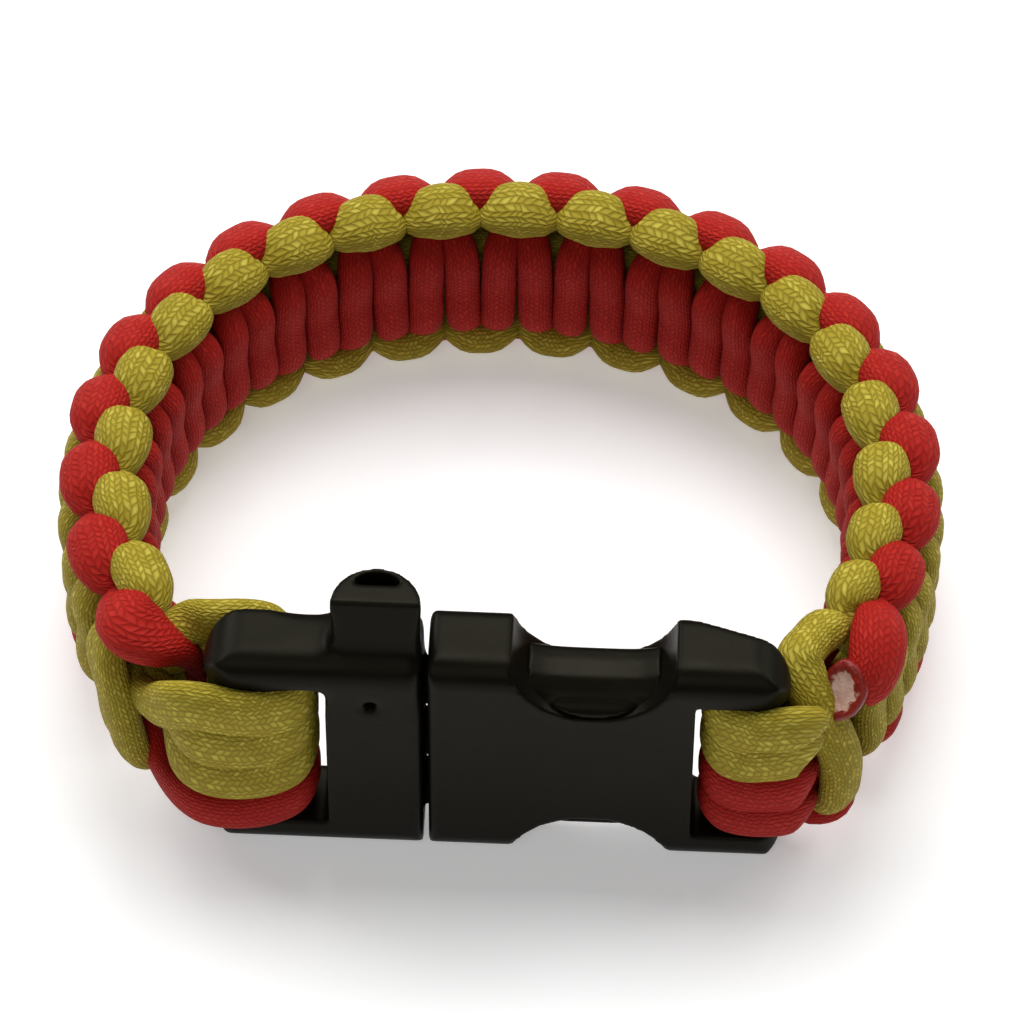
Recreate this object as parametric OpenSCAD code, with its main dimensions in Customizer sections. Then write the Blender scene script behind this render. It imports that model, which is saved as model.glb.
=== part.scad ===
// Paracord bracelet: a two-colour cobra weave closed by a side-release buckle with a whistle.
// It lies on its edge. X runs along the buckle, Y from the buckle to the back, Z across the band.
// A place on the band is s, n, w: s along its middle line from the back, n outwards, w upwards.

/* [Loop] */
// Radius of the band's middle line at the back
back_r = 44; // [42:0.5:48]
// Half the angle that the back takes up, in degrees
back_turn = 32; // [30:1:34]
// Radius of the middle line at the shoulders
shoulder_r = 32; // [31:0.5:34]
// Angle that each shoulder takes up, in degrees
shoulder_turn = 57; // [55:1:58]
// Radius of the middle line down each side
side_r = 40; // [38:0.5:44]
// Angle that each side takes up, in degrees
side_turn = 31; // [29:1:32]

/* [Weave] */
// Pitch of the cords that lie across the band
bar_pitch = 4.01; // [3.97:0.01:4.05]
// Share of the pitch that is won towards the left end, where the weave is loose
loosening = 0.22; // [0:0.01:0.3]
// Share of the pitch that is lost towards the right end, where the weave is pushed together
tightening = 0.2; // [0:0.01:0.35]
// Thickness of a cord that is pulled tight
cord_t = 3; // [2.7:0.05:3.1]
// Thickness of the core between the two faces
core_t = 2.8; // [2.6:0.05:3.2]
// Width of the core
core_w = 8.8; // [8:0.1:9]
// Height from the band's middle to the middle of a bump
bump_h = 9.4; // [9.3:0.05:9.9]
// Gap between cords that lie together
cord_gap = 0.1; // [0.08:0.01:0.2]
// Thickness of the cords that are looped round the buckle's bars
loop_t = 3; // [2.6:0.05:3.2]
// Gap between those loops and the buckle
loop_gap = 0.2; // [0.15:0.01:0.3]
// Opening left between the left loops and the whistle half's body
left_free = 0.9; // [0.7:0.05:1.2]
// Opening left between the right loops and the socket half's body
right_free = 0.5; // [0.4:0.05:0.8]
// How far the left loops hang towards the wrist
left_bulge = 2.8; // [1:0.1:4]
// How far the right loops hang towards the wrist
right_bulge = 0.2; // [0:0.1:1]

/* [Buckle] */
// Length of the fastened buckle
buckle_l = 55.3; // [55:0.1:57]
// Width of the buckle
buckle_w = 28.9; // [28.5:0.1:30]
// Thickness of the buckle's bodies
buckle_t = 8; // [7.8:0.1:9]
// Thickness of the whistle half's rails
rail_t = 7; // [6.6:0.1:7.6]
// Radius of the rounded front edges
front_edge_r = 2.6; // [2:0.1:3]
// Radius of the rounded edges that face the wrist
wrist_edge_r = 1; // [0.6:0.1:1.4]
// Distance of the buckle's middle to the right of the loop's middle
buckle_shift = 1.65; // [1:0.05:2]
// Distance of the buckle's middle in front of the band's ends
buckle_drop = 5.4; // [5:0.1:6]
// Angle between the buckle and the loop's front, in degrees
buckle_turn = 1.9; // [0:0.1:3]
// Distance of the joint line to the left of the buckle's middle
joint_x = 6.7; // [6:0.1:7]
// Gap between the halves at the joint line
joint_gap = 0.5; // [0.3:0.1:0.8]
// Height of the openings that the cords pass through
slot_w = 20.6; // [20:0.1:21]
// Thickness of the bars that the cords are looped round
bar_t = 3; // [2.6:0.1:3.2]
// Distance from the left tip to the middle of the left loops' turn
left_turn_in = 6; // [5.6:0.1:6.4]
// Distance from the right tip to the middle of the right loops' turn
right_turn_in = 3.7; // [3.4:0.1:4.2]
// Distance from the buckle's sides to the prongs' inner sides
prong_in = 7.85; // [7.6:0.05:8.2]
// Distance from the buckle's sides to the prongs' pads
pad_in = 4.65; // [4.5:0.05:5]
// Gap round what slides into the socket
slide_gap = 0.3; // [0.2:0.05:0.4]

/* [Whistle] */
// Radius of the mouthpiece's rounded side
mouth_r = 4.25; // [4:0.05:4.4]
// Height of the mouthpiece above the buckle's side
mouth_h = 6.1; // [5:0.1:7]
// How far the mouthpiece's front slopes out down to the buckle
mouth_slope = 2; // [1:0.1:2.4]
// Radius of the mouth hole's rounded side
hole_r = 2.75; // [2.4:0.05:3]
// Depth of the air channel
channel_d = 14; // [10:0.5:18]
// Diameter of the sounding hole in the front
sound_d = 1.3; // [1:0.1:1.6]

/* [Hidden] */

YELLOW = [0.71, 0.64, 0.16];
RED = [0.68, 0.12, 0.08];
BLACK = [0.08, 0.08, 0.07];

// The middle line of half the loop, from the back to the buckle
RADIUS = 0;
TURN = 1;
HALF_LOOP = [
    [back_r, back_turn],
    [shoulder_r, shoulder_turn],
    [side_r, side_turn],
];
arc_count = len(HALF_LOOP);
function arc_run(i) = HALF_LOOP[i][RADIUS] * HALF_LOOP[i][TURN] * PI / 180;
function run_before(i) = i == 0 ? 0 : run_before(i - 1) + arc_run(i - 1);
half_run = run_before(arc_count);

// Where the middle line is at distance s from the back, with its turn and its radius there
function walk(s, i = 0, x = 0, y = 0, turned = 0) =
    let (
        r = HALF_LOOP[i][RADIUS],
        here = i == arc_count - 1 ? s : min(s, arc_run(i)),
        turn = turned + here / r * 180 / PI,
        x2 = x + r * (sin(turn) - sin(turned)),
        y2 = y + r * (cos(turn) - cos(turned))
    )
    here == s ? [x2, y2, turn, r] : walk(s - here, i + 1, x2, y2, turn);

// Half-knots in the weave: an even number, each one bar pitch long but for the first and last few
knots = 2 * ceil(half_run / bar_pitch);
loose_knots = 6;
tight_knots = 7;
// The first bar's pitch begins this far inside the middle line's end, before the loosening
start_in = 1;
weave_start = start_in - half_run;
// How far place j, counted in half-knots from the left end, lies in the loose and in the tight stretch
function loose(j) = max(0, loose_knots - j);
function tight(j) = max(0, j - knots + tight_knots);
// Distance of place j along the middle line, and the pitch there
function along(j) = weave_start + bar_pitch * (j - loosening * pow(loose(j), 2) / (2 * loose_knots)
    - tightening * pow(tight(j), 2) / (2 * tight_knots));
function pitch_at(j) =
    bar_pitch * (1 + loosening * loose(j) / loose_knots - tightening * tight(j) / tight_knots);
// The weave's mouth at each end of the band
function mouth(side) = along(side > 0 ? knots : 0);
face_n = core_t / 2 + cord_gap + cord_t / 2;
band_end = walk(half_run);

// The buckle's middle
buckle_y = band_end[1] - buckle_drop;

function outward(s) = let (t = walk(abs(s))[2]) [sign(s) * sin(t), cos(t), 0];
function place(s, n, w) =
    let (q = walk(abs(s)), side = s < 0 ? -1 : 1)
    [side * (q[0] + n * sin(q[2])), q[1] + n * cos(q[2]), w];
// How much longer than the middle line the band is at n
function stretch(s, n) = 1 + n / walk(abs(s))[3];

function unit(v) = v / norm(v);
function mix(a, b, share) = a + (b - a) * share;

// Rows that sweep() follows: the cord's middle, the way its thin side faces and its half sizes
MIDDLE = 0;
FACING = 1;
HALF_WIDE = 2;
HALF_THICK = 3;
SIDES = 8;
corner = 1 / cos(180 / SIDES);

function heading(rows, i) =
    unit(rows[min(i + 1, len(rows) - 1)][MIDDLE] - rows[max(i - 1, 0)][MIDDLE]);
function ring(row, along) =
    let (across = unit(cross(along, row[FACING])), out = cross(across, along))
    [for (j = [0:SIDES - 1])
        let (a = (j + 0.5) * 360 / SIDES)
        row[MIDDLE] + corner * (cos(a) * row[HALF_WIDE] * across + sin(a) * row[HALF_THICK] * out)];

// A cord of eight sides swept through its rows
module sweep(rows) {
    last = len(rows) - 1;
    points = [for (i = [0:last]) each ring(rows[i], heading(rows, i))];
    walls = [for (i = [0:last - 1], j = [0:SIDES - 1])
        let (a = i * SIDES + j, b = i * SIDES + (j + 1) % SIDES)
        each [[a, b, b + SIDES], [a, b + SIDES, a + SIDES]]];
    first_cap = [for (j = [SIDES - 1:-1:0]) j];
    last_cap = [for (j = [0:SIDES - 1]) last * SIDES + j];
    polyhedron(points, concat([first_cap], walls, [last_cap]));
}

// One half-knot of a cord: its bar across one face, then the bump over the band's edge.
// ALONG is in bar pitches from the bar, FACE in face_n, HEIGHT in bump_h,
// WIDE in local bar pitches and THICK in cord_t, both of them halves.
ALONG = 0;
FACE = 1;
HEIGHT = 2;
WIDE = 3;
THICK = 4;
KNOT = [
    [0.00, 1.00, 0.00, 0.50, 0.50],
    [-0.05, 1.00, 0.55, 0.45, 0.50],
    [-0.26, 0.00, 0.77, 0.15, 0.32],
    [-0.08, -0.58, 0.95, 0.41, 0.50],
    [0.50, -0.56, 1.00, 0.71, 0.60],
    [1.08, -0.58, 0.95, 0.41, 0.50],
    [1.26, 0.00, 0.77, 0.15, 0.32],
    [1.05, 1.00, 0.55, 0.45, 0.50],
];
// The first bump comes out of the core, and the last one is cut and melted at its top
FIRST_BUMP = [
    [-0.30, -0.20, 0.84, 0.16, 0.25],
    [-0.08, -0.58, 0.95, 0.41, 0.47],
    [0.50, -0.56, 1.00, 0.71, 0.60],
    [1.08, -0.58, 0.95, 0.41, 0.50],
    [1.26, 0.00, 0.77, 0.15, 0.32],
    [1.05, 1.00, 0.55, 0.45, 0.50],
];
LAST_BUMP = [
    [0.00, 1.00, 0.00, 0.50, 0.50],
    [-0.05, 1.00, 0.55, 0.45, 0.50],
    [-0.26, 0.00, 0.77, 0.15, 0.32],
    [-0.08, -0.58, 0.95, 0.41, 0.50],
    [0.44, -0.62, 1.00, 0.70, 0.70],
];
// Half the width of the flat middle that the cords are wrapped round
wrap_w = 5.5;

function knot_rows(table, k, face, edge) =
    [for (row = table)
        let (
            j = k + 0.5 + row[ALONG],
            s = along(j),
            n = face * row[FACE] * face_n,
            w = edge * row[HEIGHT] * bump_h
        )
        [place(s, n, w), unit(outward(s) * n + [0, 0, w - min(max(w, -wrap_w), wrap_w)]),
            row[WIDE] * min(pitch_at(j), bar_pitch) * stretch(s, n) - cord_gap / 2,
            row[THICK] * cord_t - cord_gap / 2]];

// A cord of the weave. face is 1 where its bars lie outside and -1 where they lie inside.
module weave_cord(face) {
    function edge(k) = face * (k % 2 == 0 ? 1 : -1);
    sweep(concat(
        knot_rows(FIRST_BUMP, -1, face, edge(-1)),
        [for (k = [0:knots - 2]) each knot_rows(KNOT, k, face, edge(k))],
        knot_rows(LAST_BUMP, knots - 1, face, edge(knots - 1))
    ));
}

// The strands round each bar lie in rows, from the top down, each of one colour
ROWS = 4;
LEFT_YELLOW = [0, 1, 2];
LEFT_RED = [3];
RIGHT_YELLOW = [0, 1];
RIGHT_RED = [2, 3];
row_pitch_bar = (slot_w - 2 * loop_gap) / ROWS;
row_pitch_leg = core_w / ROWS - cord_gap;
// Ends of the loops' legs inside the weave, and of the core between them, in bar pitches
leg_in = 1.2;
leg_gap = 0.1;
CORE_STEPS = 36;
// The bars lie a little in front of the buckle's middle plane
bar_y = -0.7;
turn_r = bar_t / 2 + loop_gap + loop_t / 2;

module at_buckle() {
    translate([buckle_shift, buckle_y, 0]) rotate(buckle_turn) children();
}
function from_buckle(x, y) =
    [buckle_shift + x * cos(buckle_turn) - y * sin(buckle_turn),
        buckle_y + x * sin(buckle_turn) + y * cos(buckle_turn), 0];
function turned(angle) = [cos(angle + buckle_turn), sin(angle + buckle_turn), 0];

left_face = -joint_x - joint_gap / 2;
right_face = -joint_x + joint_gap / 2;
function tip_x(side) = side * buckle_l / 2;
// The middle that the loops turn round, and the body's face that looks into the opening
function turn_x(side) = tip_x(side) - side * (side > 0 ? right_turn_in : left_turn_in);
function slot_x(side) = turn_x(side) - side * (turn_r + loop_t / 2 + (side > 0 ? right_free : left_free));

// Share of its width that a strand keeps where it slants
SLANT = 0.8;
// A row of a loop's leg: grow runs from 0, flat inside the weave, to 1, full at the bar
function loop_row(middle, facing, row, grow, slim = 1) =
    let (pitch = mix(row_pitch_leg, row_pitch_bar, grow))
    [middle + [0, 0, ((ROWS - 1) / 2 - row) * pitch], facing,
        slim * (pitch / 2 - cord_gap / 2), mix(core_t / 4 - cord_gap / 2, loop_t / 2, grow)];

// Where the legs leave the weave, and where they pass the buckle's tip and how they face there
mouth_out = 0.7;
front_tip_out = 0.8;
wrist_tip_in = 1.2;
tip_lean = 15;
TIP_GROW = 0.96;
// About halfway between the two, where the front legs bow out
HALFWAY = 0.45;
HALFWAY_GROW = 0.42;
front_bow = 0.3;

function loop_rows(side, row) =
    let (
        s = mouth(side) + side * mouth_out,
        s_in = mouth(side) - side * leg_in * bar_pitch,
        out = outward(s),
        front_mouth = place(s, core_t / 4, 0),
        wrist_mouth = place(s, -core_t / 4, 0),
        bulge = side > 0 ? right_bulge : left_bulge,
        front_tip = from_buckle(tip_x(side) + side * front_tip_out, bar_y - turn_r),
        wrist_tip = from_buckle(tip_x(side) - side * wrist_tip_in, bar_y + turn_r + bulge)
    )
    [
        loop_row(place(s_in, core_t / 4, 0), outward(s_in), row, 0),
        loop_row(front_mouth, out, row, 0, SLANT),
        loop_row(mix(front_mouth, front_tip, HALFWAY) + front_bow * out, out, row, HALFWAY_GROW, SLANT),
        loop_row(front_tip, turned(side * tip_lean - 90), row, TIP_GROW, SLANT),
        for (angle = [-90:45:90])
            let (x = turn_x(side) - side * turn_r * cos(angle), bow = bulge * max(0, angle) / 90)
            loop_row(from_buckle(x, bar_y + turn_r * sin(angle) + bow),
                turned(side > 0 ? 180 - angle : angle), row, 1),
        loop_row(wrist_tip, turned(90), row, TIP_GROW, SLANT),
        loop_row(mix(wrist_mouth, wrist_tip, HALFWAY) - bulge / 3 * out, -out, row, HALFWAY_GROW, SLANT),
        loop_row(wrist_mouth, -out, row, 0, SLANT),
        loop_row(place(s_in, -core_t / 4, 0), -outward(s_in), row, 0),
    ];

module loops(side, rows) {
    for (row = rows) sweep(loop_rows(side, row));
}

// The cords of the core, bundled into a flat band between the loops' legs
module core() {
    inset = (leg_in + leg_gap) * bar_pitch;
    start = mouth(-1) + inset;
    end = mouth(1) - inset;
    function face(n) = [for (i = [0:CORE_STEPS])
        let (p = place(mix(start, end, i / CORE_STEPS), n, 0)) [p[0], p[1]]];
    outside = face(core_t / 2);
    inside = face(-core_t / 2);
    linear_extrude(core_w, center = true)
        polygon(concat(outside, [for (i = [CORE_STEPS:-1:0]) inside[i]]));
}

// What the outline in its child becomes across the whole buckle: seen from the front, top or end
module from_front() {
    rotate([90, 0, 0]) linear_extrude(2 * buckle_w, center = true) children();
}
module from_top() {
    linear_extrude(2 * buckle_w, center = true) children();
}
module from_end() {
    rotate([90, 0, 90]) linear_extrude(2 * buckle_l, center = true) children();
}

// A rectangle from x1 to x2 and y1 to y2 with rounded corners: left_r at x1 and right_r at x2
module plate(x1, x2, y1, y2, left_r, right_r) {
    polygon([[x1, y1 + left_r], [x1 + left_r, y1], [x2 - right_r, y1], [x2, y1 + right_r],
        [x2, y2 - right_r], [x2 - right_r, y2], [x1 + left_r, y2], [x1, y2 - left_r]]);
    for (y = [y1 + left_r, y2 - left_r]) translate([x1 + left_r, y]) circle(left_r, $fn = 48);
    for (y = [y1 + right_r, y2 - right_r]) translate([x2 - right_r, y]) circle(right_r, $fn = 48);
}

// Across the buckle's end: its front edges are rounder than those on the wrist side
module end_outline(front, wrist) {
    plate(front, wrist, -buckle_w / 2, buckle_w / 2, front_edge_r, wrist_edge_r);
}

// The top view of a half's end: it tapers from its root to a round nose at the tip
module tapered(side, root_x, root_wrist, nose_front, nose_wrist) {
    r = (nose_wrist - nose_front) / 2;
    nose_x = tip_x(side) - side * r;
    polygon([[root_x, -buckle_t / 2], [nose_x, nose_front], [nose_x, nose_wrist], [root_x, root_wrist]]);
    translate([nose_x, (nose_front + nose_wrist) / 2]) circle(r, $fn = 72);
}

// Radii of the outlines' corners at the joint and at the tips
body_r = 1;
tip_r = 4;
wrist_y = buckle_t / 2;
rail_wrist_y = rail_t - buckle_t / 2;
// The socket half tapers from here to its nose
taper_x = 17.5;
nose_front_y = -buckle_t / 2;
socket_nose_y = 1.8;

// How far pieces of one half reach into each other, and cuts past a face
root = 1;

module opening(side) {
    length = abs(tip_x(side) - slot_x(side)) + root;
    translate([slot_x(side) + side * length / 2, 0, 0])
        cube([length, 3 * buckle_t, slot_w], center = true);
}

// The bar near the tip, between the rails, with its edges' radius as a share of its thickness
bar_end_in = 0.4;
BAR_ROUND = 0.49;
module bar(side) {
    ends = [turn_x(side), tip_x(side) - side * bar_end_in];
    r = BAR_ROUND * bar_t;
    linear_extrude(slot_w + 2 * root, center = true)
        plate(min(ends), max(ends), bar_y - bar_t / 2, bar_y + bar_t / 2, r, r);
}

// Each prong slides in above or below the middle and ends in a pad, which fills the bottom of
// the round notch in the socket's side
notch_x = 9.1;
notch_r = 7.9;
// Distance of the notch's middle beyond the buckle's side
notch_up = 1.45;
// The pad is slightly round along its top and rounded at both edges
pad_r = 20;
pad_front_r = 2;
pad_wrist_r = 1;
pad_wrist_y = 3.2;
prong_t = 3.6;
prong_h = 3;
prong_z = buckle_w / 2 - prong_in;
// The guide between the prongs
guide_w = 3;
guide_l = 18.7;

module notch_cylinder(x, z, r) {
    translate([x, 0, z]) rotate([90, 0, 0]) cylinder(3 * buckle_t, r = r, center = true, $fn = 120);
}

module notch(clearance) {
    notch_cylinder(notch_x, buckle_w / 2 + notch_up, notch_r - clearance);
}

module prong() {
    pad_z = buckle_w / 2 - pad_in;
    translate([left_face - root, -prong_t / 2, prong_z])
        cube([notch_x - left_face + root, prong_t, prong_h]);
    intersection() {
        notch(slide_gap);
        notch_cylinder(notch_x, pad_z - pad_r, pad_r);
        from_end() plate(-buckle_t / 2, pad_wrist_y, -pad_z, pad_z, pad_front_r, pad_wrist_r);
    }
}

// Places of the mouthpiece, its mouth hole and the sounding hole in the buckle's front
mouth_x = -11.3;
mouth_flat_y = -0.7;
hole_flat_y = 1.7;
hole_rim = 0.5;
sound_x = -11.8;
sound_z = 8.6;
// The mouthpiece stands on the buckle's side: flat and sloping in front, round towards the wrist
module mouthpiece() {
    top = buckle_w / 2 + mouth_h;
    foot = buckle_w / 2 - front_edge_r;
    linear_extrude(top) intersection() {
        translate([mouth_x, mouth_flat_y]) circle(mouth_r, $fn = 72);
        translate([mouth_x - mouth_r, mouth_flat_y]) square([2 * mouth_r, mouth_r]);
    }
    translate([mouth_x - mouth_r, 0, 0]) rotate([90, 0, 90]) linear_extrude(2 * mouth_r)
        polygon([[mouth_flat_y, top], [mouth_flat_y - mouth_slope, foot], [mouth_flat_y, foot]]);
}

module air_channel() {
    hole_y = mouth_flat_y + mouth_r - hole_rim;
    translate([0, 0, buckle_w / 2 + mouth_h - channel_d]) linear_extrude(channel_d + root) intersection() {
        translate([mouth_x, hole_y - hole_r]) circle(hole_r, $fn = 48);
        translate([mouth_x - hole_r, hole_flat_y]) square([2 * hole_r, hole_r]);
    }
    translate([sound_x, hole_y - hole_r, sound_z]) rotate([90, 0, 0])
        cylinder(buckle_t, d = sound_d, $fn = 24);
}

// The buckle is wider than the band, so the bracelet lies on the buckle's side and on the bumps
// at the back, with its front raised by a few degrees
BUMP_THICK = 0.72;
bump_reach = bump_h + BUMP_THICK * cord_t;
low_y = from_buckle(taper_x, wrist_y - wrist_edge_r)[1];
rest_tilt = atan((buckle_w / 2 - bump_reach) / -low_y);
rest_z = (buckle_w / 2 - wrist_edge_r) * cos(rest_tilt) + low_y * sin(rest_tilt) + wrist_edge_r;
// The box's middle is the origin: it reaches from the loops' front, which leans out as the buckle
// turns, to the bars at the back, whose corners stand out
loops_lean = 0.75;
bar_corner = 0.12;
front_y = buckle_y + bar_y - turn_r - loop_t / 2 - loops_lean;
back_y = face_n + cord_t / 2 + bar_corner;
rest_y = -(front_y + back_y) / 2;
module lie() {
    translate([0, rest_y, rest_z]) rotate([-rest_tilt, 0, 0]) children();
}

module whistle_half() {
    color(BLACK) lie() at_buckle() difference() {
        union() {
            difference() {
                intersection() {
                    from_front()
                        plate(tip_x(-1), left_face - root, -buckle_w / 2, buckle_w / 2, tip_r, body_r);
                    from_top() tapered(-1, slot_x(-1) + root, rail_wrist_y, nose_front_y, rail_wrist_y);
                    from_end() end_outline(-buckle_t / 2, wrist_y);
                }
                opening(-1);
            }
            intersection() {
                from_front() plate(slot_x(-1), left_face, -buckle_w / 2, buckle_w / 2, body_r, body_r);
                from_top() plate(slot_x(-1), left_face, -buckle_t / 2, wrist_y, body_r, body_r);
                from_end() end_outline(-buckle_t / 2, wrist_y);
            }
            bar(-1);
            mouthpiece();
            for (side = [0, 1]) mirror([0, 0, side]) prong();
            translate([left_face - root, -prong_t / 2, -guide_w / 2])
                cube([guide_l + root, prong_t, guide_w]);
        }
        air_channel();
    }
}

module socket_body() {
    intersection() {
        from_front() plate(right_face, tip_x(1), -buckle_w / 2, buckle_w / 2, body_r, tip_r);
        from_top() {
            plate(right_face, taper_x + body_r, -buckle_t / 2, wrist_y, body_r, body_r);
            tapered(1, taper_x, wrist_y, nose_front_y, socket_nose_y);
        }
        from_end() end_outline(-buckle_t / 2, wrist_y);
    }
}

module socket_half() {
    cavity_l = guide_l - joint_gap + slide_gap;
    cavity_t = prong_t + 2 * slide_gap;
    cavity_h = 2 * (prong_z + prong_h + slide_gap);
    color(BLACK) lie() at_buckle() {
        difference() {
            socket_body();
            opening(1);
            for (side = [0, 1]) mirror([0, 0, side]) notch(0);
            translate([right_face - root, -cavity_t / 2, -cavity_h / 2])
                cube([cavity_l + root, cavity_t, cavity_h]);
        }
        bar(1);
    }
}

module yellow_cord() {
    color(YELLOW) lie() weave_cord(1);
}

module red_cord() {
    color(RED) lie() weave_cord(-1);
}

module core_cords() {
    color(YELLOW) lie() core();
}

module left_yellow_loops() {
    color(YELLOW) lie() loops(-1, LEFT_YELLOW);
}

module left_red_loop() {
    color(RED) lie() loops(-1, LEFT_RED);
}

module right_yellow_loops() {
    color(YELLOW) lie() loops(1, RIGHT_YELLOW);
}

module right_red_loops() {
    color(RED) lie() loops(1, RIGHT_RED);
}

whistle_half();
socket_half();
yellow_cord();
red_cord();
core_cords();
left_yellow_loops();
left_red_loop();
right_yellow_loops();
right_red_loops();
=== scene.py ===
from math import atan, ceil, cos, pi, radians, sin

import bpy
import numpy as np
from mathutils import Matrix, Vector

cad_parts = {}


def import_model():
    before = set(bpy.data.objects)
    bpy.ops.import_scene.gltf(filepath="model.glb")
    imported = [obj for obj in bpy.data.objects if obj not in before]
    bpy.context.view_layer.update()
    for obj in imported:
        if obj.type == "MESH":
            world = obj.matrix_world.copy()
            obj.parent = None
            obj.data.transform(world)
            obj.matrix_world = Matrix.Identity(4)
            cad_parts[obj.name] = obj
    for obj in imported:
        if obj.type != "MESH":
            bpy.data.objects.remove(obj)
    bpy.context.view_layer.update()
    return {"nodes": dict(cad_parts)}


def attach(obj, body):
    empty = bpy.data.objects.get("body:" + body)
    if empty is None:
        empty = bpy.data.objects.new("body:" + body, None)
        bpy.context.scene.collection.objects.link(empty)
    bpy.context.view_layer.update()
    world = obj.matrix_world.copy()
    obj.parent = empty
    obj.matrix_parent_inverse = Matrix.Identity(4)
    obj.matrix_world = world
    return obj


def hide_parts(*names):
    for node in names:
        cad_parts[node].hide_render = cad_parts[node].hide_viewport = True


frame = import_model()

# Lengths are in millimetres until a mesh is made. A place on the band is s, n, w:
# s along its middle line from the back, n outwards, w upwards.
MM = 0.001

# The loop's middle line, from the back to the buckle: radius and turn in degrees
HALF_LOOP = ((44, 32), (32, 57), (40, 31))
HALF_RUN = sum(r * radians(turn) for r, turn in HALF_LOOP)

# The weave
BAR_PITCH = 4.01
LOOSENING = 0.22
LOOSE_KNOTS = 6
TIGHTENING = 0.2
TIGHT_KNOTS = 7
CORD_T = 3
CORE_T = 2.8
CORE_W = 8.8
BUMP_H = 9.4
CORD_GAP = 0.1
KNOTS = 2 * ceil(HALF_RUN / BAR_PITCH)
WEAVE_START = 1 - HALF_RUN
FACE_N = CORE_T / 2 + CORD_GAP + CORD_T / 2

# The buckle and its place
BUCKLE_L = 55.3
BUCKLE_W = 28.9
BUCKLE_T = 8
BUCKLE_SHIFT = 1.65
BUCKLE_DROP = 5.4
BUCKLE_TURN = radians(1.9)
WRIST_EDGE_R = 1
TAPER_X = 17.5
BAR_T = 3
BAR_Y = -0.7

# The cords looped round the buckle's bars
LOOP_T = 3
LOOP_GAP = 0.2
LEFT_TURN_IN = 6
RIGHT_TURN_IN = 3.7
LEFT_BULGE = 2.8
RIGHT_BULGE = 0.2
TURN_R = BAR_T / 2 + LOOP_GAP + LOOP_T / 2
ROWS = 4


def walk(s):
    """Place, turn in radians and radius of the right half's middle line, at s from the back."""
    x = y = turned = 0
    for i, (radius, degrees) in enumerate(HALF_LOOP):
        last = i == len(HALF_LOOP) - 1
        run = s if last else min(s, radius * radians(degrees))
        turn = turned + run / radius
        x += radius * (sin(turn) - sin(turned))
        y += radius * (cos(turn) - cos(turned))
        s -= run
        turned = turn
        if s <= 0:
            break
    return x, y, turned, radius


def place(s, n, w):
    x, y, turn, _ = walk(abs(s))
    side = -1 if s < 0 else 1
    return np.array((side * (x + n * sin(turn)), y + n * cos(turn), w))


def outward(s):
    turn = walk(abs(s))[2]
    return np.array((np.sign(s) * sin(turn), cos(turn), 0))


def onward(s):
    """Along the band, clockwise as seen from above."""
    x, y, _ = outward(s)
    return np.array((y, -x, 0))


def stretch(s, n):
    """How much longer than its middle line the band is at n."""
    return 1 + n / walk(abs(s))[3]


def loose(j):
    return max(0, LOOSE_KNOTS - j)


def tight(j):
    return max(0, j - KNOTS + TIGHT_KNOTS)


def along(j):
    """Distance of place j, counted in half-knots from the left end."""
    slack = LOOSENING * loose(j) ** 2 / (2 * LOOSE_KNOTS)
    pushed = TIGHTENING * tight(j) ** 2 / (2 * TIGHT_KNOTS)
    return WEAVE_START + BAR_PITCH * (j - slack - pushed)


def pitch_at(j):
    slack = LOOSENING * loose(j) / LOOSE_KNOTS
    pushed = TIGHTENING * tight(j) / TIGHT_KNOTS
    return BAR_PITCH * (1 + slack - pushed)


def mouth(side):
    return along(KNOTS if side > 0 else 0)


band_end = walk(HALF_RUN)
BUCKLE_Y = band_end[1] - BUCKLE_DROP


def from_buckle(x, y, z=0):
    """A place in the buckle's own frame, in the band's."""
    return np.array((
        BUCKLE_SHIFT + x * cos(BUCKLE_TURN) - y * sin(BUCKLE_TURN),
        BUCKLE_Y + x * sin(BUCKLE_TURN) + y * cos(BUCKLE_TURN),
        z,
    ))


# The bracelet lies on the buckle's side and on the bumps at the back. The bumps reach past their
# middles by a share of the cord, and the cords stand out a little at the front and at the back.
BUMP_SHARE = 0.72
FRONT_STAND = 0.75
BACK_STAND = 0.12
BUMP_REACH = BUMP_H + BUMP_SHARE * CORD_T
low_y = from_buckle(TAPER_X, BUCKLE_T / 2 - WRIST_EDGE_R)[1]
REST_TILT = atan((BUCKLE_W / 2 - BUMP_REACH) / -low_y)
REST_Z = (BUCKLE_W / 2 - WRIST_EDGE_R) * cos(REST_TILT) + low_y * sin(REST_TILT) + WRIST_EDGE_R
FRONT_Y = BUCKLE_Y + BAR_Y - TURN_R - LOOP_T / 2 - FRONT_STAND
BACK_Y = FACE_N + CORD_T / 2 + BACK_STAND
REST_Y = -(FRONT_Y + BACK_Y) / 2
lie = Matrix.Translation((0, REST_Y, REST_Z)) @ Matrix.Rotation(-REST_TILT, 4, "X")


def unit(v):
    return v / np.linalg.norm(v)


def mix(a, b, share):
    return a + (b - a) * share


# Columns of a cord's rows
MIDDLE = slice(0, 3)
FACING = slice(3, 6)
HALF_WIDE = 6
HALF_THICK = 7
RING_STEP = 0.5
SIDES = 18
SQUARENESS = 2.5


def row(middle, facing, half_wide, half_thick):
    return np.array((*middle, *facing, half_wide, half_thick))


def gaps_between(rows):
    return np.linalg.norm(np.diff(rows[:, MIDDLE], axis=0), axis=1)


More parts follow.
